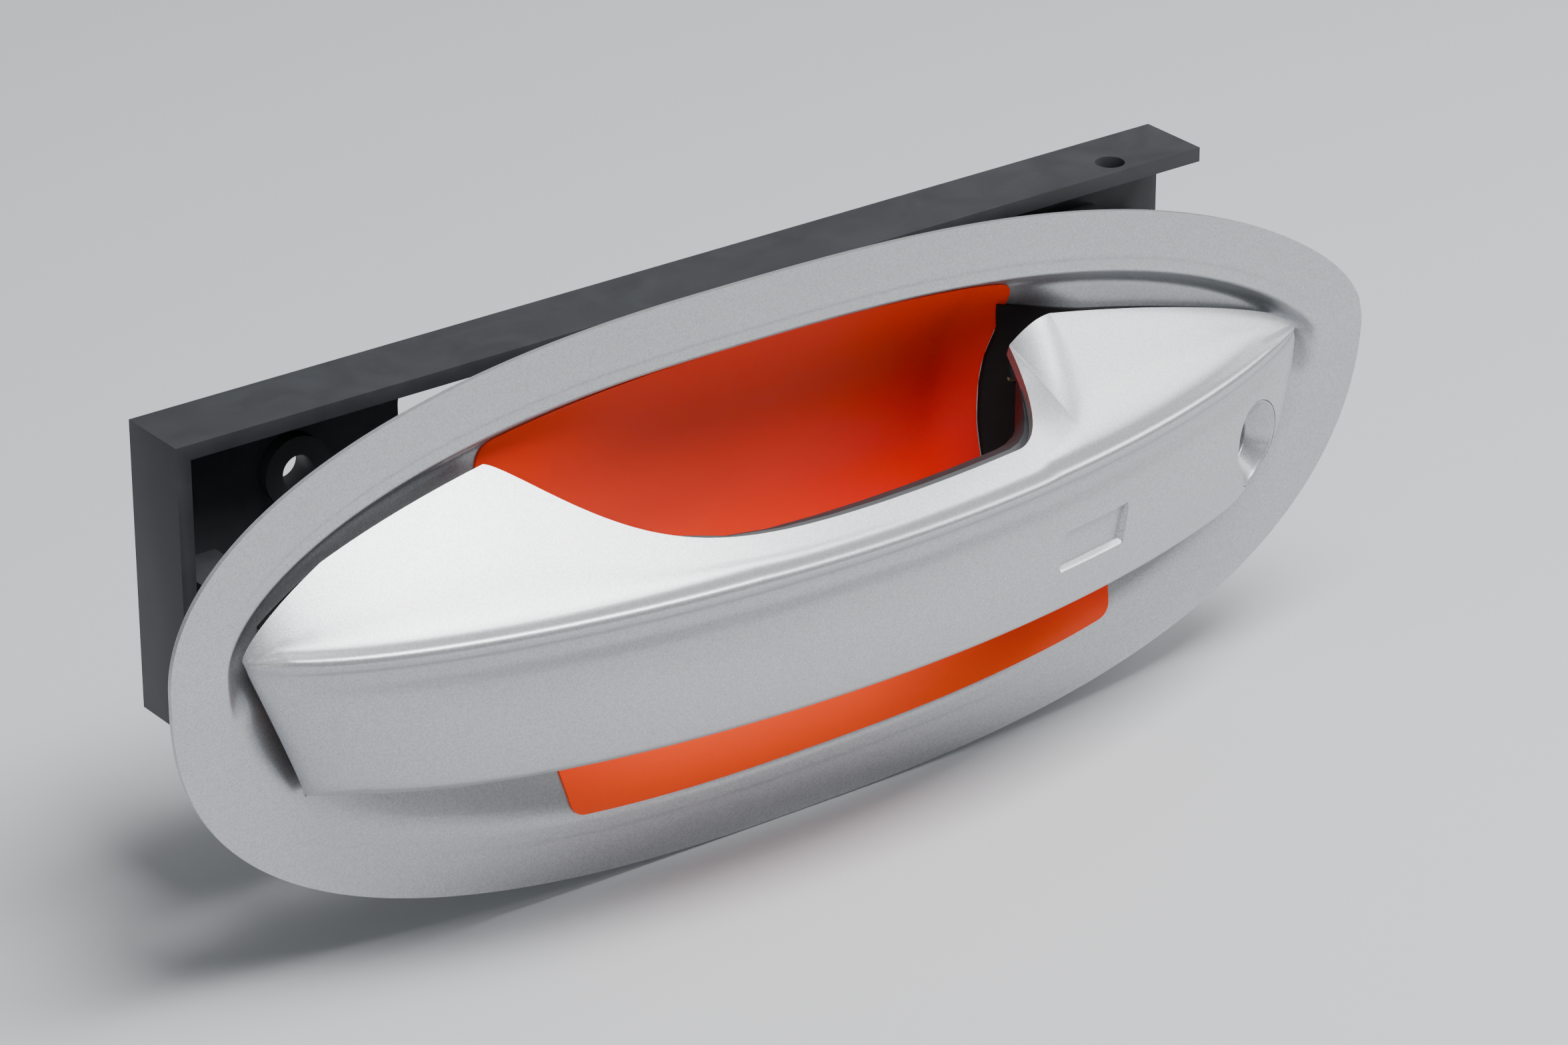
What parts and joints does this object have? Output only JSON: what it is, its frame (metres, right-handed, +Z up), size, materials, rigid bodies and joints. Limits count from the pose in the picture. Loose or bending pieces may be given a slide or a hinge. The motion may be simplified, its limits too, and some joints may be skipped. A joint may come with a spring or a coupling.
{
  "type": "door handle",
  "caption": "Bow-shaped pull handle in an almond-shaped door recess, with a hinged two-shell grip, touch recess, key cylinder and release crank.",
  "frame": {"origin": "middle of the carrier's mounting face, inside the door", "axes": "+X along the grip from its front tip to its rear tip, -Y out of the door towards the hand, +Z up"},
  "size_m": [0.278, 0.0771, 0.1139],
  "materials": {
    "door_paint": "silver metallic base coat under clear coat",
    "grip_paint": "satin silver metallic",
    "film": "satin orange protective film",
    "gasket": "matt black",
    "black_plastic": "moulded glass-filled nylon",
    "ivory_plastic": "moulded acetal",
    "cast_zinc": "die cast, as cast",
    "cast_arm": "die cast and blasted",
    "steel": "bright drawn",
    "zinc_plate": "zinc plated and passivated",
    "spring_steel": "oil tempered",
    "brass": "turned",
    "board": "solder mask",
    "ferrite": "sintered, matt dark grey"
  },
  "bodies": {
    "door_side": {"recess_dish": "door_paint", "upper_film": "film", "lower_film": "film", "front_gasket": "gasket", "rear_gasket": "gasket", "carrier": "black_plastic", "carrier_screws": "zinc_plate", "hinge_pin": "steel", "crank_pin": "steel", "pin_clips": "spring_steel", "cable_anchor": "ivory_plastic", "lock_housing": "cast_zinc", "lock_screw": "zinc_plate"},
    "grip": {"grip_outer_shell": "grip_paint", "grip_inner_shell": "black_plastic", "key_funnel": "grip_paint", "hinge_arm": "cast_arm", "pull_arm": "cast_arm", "shell_screws": "zinc_plate", "sensor_board": "board", "ferrite_antenna": "ferrite", "sensor_socket": "ivory_plastic", "rest_bumpers": "gasket"},
    "crank": {"bell_crank": "black_plastic", "counterweight": "cast_zinc", "return_spring": "spring_steel"},
    "lock": {"lock_plug": "brass", "tail_lever": "steel", "lever_clip": "spring_steel"}
  },
  "joints": [
    {"name": "grip_swing", "type": "hinge", "parent": "door_side", "child": "grip", "pos_m": [-0.1065, -0.036, -0.009], "axis": [0, 0, -1], "range_deg": [0, 5.5], "stiffness_Nm_per_rad": 12, "springref_deg": -1.15},
    {"name": "crank_turn", "type": "hinge", "parent": "door_side", "child": "crank", "pos_m": [0.099, -0.0236, 0.007], "axis": [0, 0, 1], "range_deg": [0, 36.6]},
    {"name": "lock_turn", "type": "hinge", "parent": "door_side", "child": "lock", "pos_m": [0.1047, -0.05576, -0.0165], "axis": [-0.4067, 0.9135, 0], "range_deg": [-75, 75]}
  ],
  "couplings": [
    {"joint": "crank_turn", "follows": "grip_swing", "ratio": 6.6549}
  ]
}
